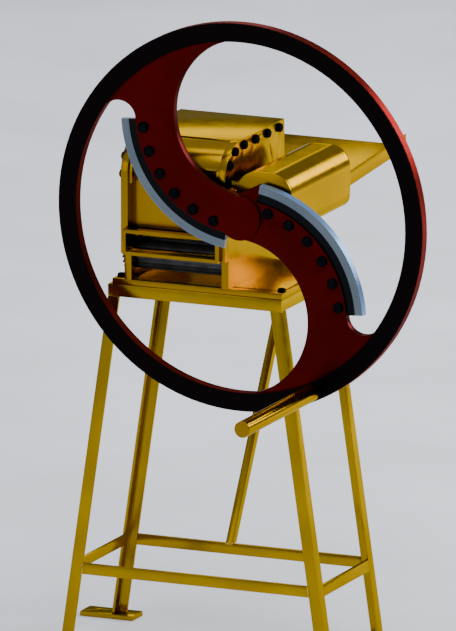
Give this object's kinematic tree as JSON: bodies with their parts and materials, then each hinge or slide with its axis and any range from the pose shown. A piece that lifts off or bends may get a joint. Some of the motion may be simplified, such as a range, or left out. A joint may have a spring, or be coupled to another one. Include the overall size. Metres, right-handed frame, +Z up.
{
  "type": "hand fodder chopping machine",
  "caption": "Hand-operated chaff cutter: a crank-handled flywheel with curved blades on its S-shaped arms, a geared roller feed head, a flared tray and a splayed steel stand.",
  "frame": {"origin": "on the floor, at the centre of the four anchor holes in the foot plates", "axes": "+Z up; -Y towards the flywheel's front and the crank handle; +Y along the feed tray; +X to the flywheel's side, away from the feed gears"},
  "size_m": [1.0564, 1.446, 1.595],
  "materials": {
    "gold_enamel": "glossy gold enamel",
    "red_enamel": "glossy deep red enamel",
    "rim_enamel": "glossy enamel, black on the face and dark red on the edges",
    "blade_steel": "ground tool steel",
    "black_fasteners": "black oxide",
    "bronze": "machined bronze",
    "cast_grey_iron": "fettled casting",
    "shaft_steel": "turned"
  },
  "bodies": {
    "frame": {"base_bolts": "black_fasteners", "base_plate": "gold_enamel", "bracket_bolts": "black_fasteners", "cover_bolts": "black_fasteners", "cover_flange_left": "gold_enamel", "cover_flange_right": "gold_enamel", "foot_plates": "gold_enamel", "front_apron": "gold_enamel", "gear_case_brackets": "gold_enamel", "gear_case_front": "gold_enamel", "gear_case_rear": "gold_enamel", "gear_case_screws": "black_fasteners", "gear_case_shell": "gold_enamel", "inlet_floor": "gold_enamel", "leg_front_left": "gold_enamel", "leg_front_right": "gold_enamel", "leg_rear_left": "gold_enamel", "leg_rear_right": "gold_enamel", "main_shaft_bushes": "bronze", "mouth_frame": "gold_enamel", "rail_front": "gold_enamel", "rail_rear": "gold_enamel", "rear_panel": "gold_enamel", "side_plate_bushes": "bronze", "side_plate_left": "gold_enamel", "side_plate_right": "gold_enamel", "side_rails": "gold_enamel", "throat_plates": "gold_enamel", "top_cover": "gold_enamel", "top_frame": "gold_enamel", "tray_floor": "gold_enamel", "tray_strut": "gold_enamel", "tray_wall_left": "gold_enamel", "tray_wall_right": "gold_enamel"},
    "flywheel": {"flywheel_rim": "rim_enamel", "flywheel_arms": "red_enamel", "hub_key": "black_fasteners", "hub_set_screw": "black_fasteners", "blade_1": "blade_steel", "blade_2": "blade_steel", "blade_bolts_1": "black_fasteners", "blade_bolts_2": "black_fasteners", "main_shaft": "shaft_steel", "drive_worm": "shaft_steel", "handle_collar": "black_fasteners", "handle_spindle": "shaft_steel", "spindle_nut": "black_fasteners"},
    "grip": {"handle_grip": "gold_enamel", "grip_bushes": "bronze", "grip_end_cap": "gold_enamel"},
    "cross_shaft": {"cross_shaft": "shaft_steel", "drive_pinion": "bronze", "worm_wheel": "bronze"},
    "upper_roller": {"upper_roller": "cast_grey_iron", "upper_roller_shaft": "shaft_steel", "upper_roller_gear": "cast_grey_iron"},
    "lower_roller": {"lower_roller": "cast_grey_iron", "lower_roller_shaft": "shaft_steel", "lower_roller_gear": "cast_grey_iron"}
  },
  "joints": [
    {"name": "flywheel_spin", "type": "hinge", "parent": "frame", "child": "flywheel", "pos_m": [0.146, -0.231, 1.12], "axis": [0, -1, 0], "continuous": true},
    {"name": "grip_spin", "type": "hinge", "parent": "flywheel", "child": "grip", "pos_m": [0.33778, -0.4, 0.71059], "axis": [0, 1, 0], "continuous": true},
    {"name": "cross_shaft_spin", "type": "hinge", "parent": "frame", "child": "cross_shaft", "pos_m": [-0.0485, -0.099, 1.166], "axis": [1, 0, 0], "continuous": true},
    {"name": "upper_roller_spin", "type": "hinge", "parent": "frame", "child": "upper_roller", "pos_m": [-0.0485, -0.099, 1.0705], "axis": [1, 0, 0], "continuous": true},
    {"name": "lower_roller_spin", "type": "hinge", "parent": "frame", "child": "lower_roller", "pos_m": [-0.0485, -0.099, 0.9825], "axis": [1, 0, 0], "continuous": true}
  ],
  "couplings": [
    {"joint": "cross_shaft_spin", "follows": "flywheel_spin", "ratio": 0.041667},
    {"joint": "upper_roller_spin", "follows": "flywheel_spin", "ratio": -0.049242},
    {"joint": "lower_roller_spin", "follows": "flywheel_spin", "ratio": 0.049242}
  ]
}
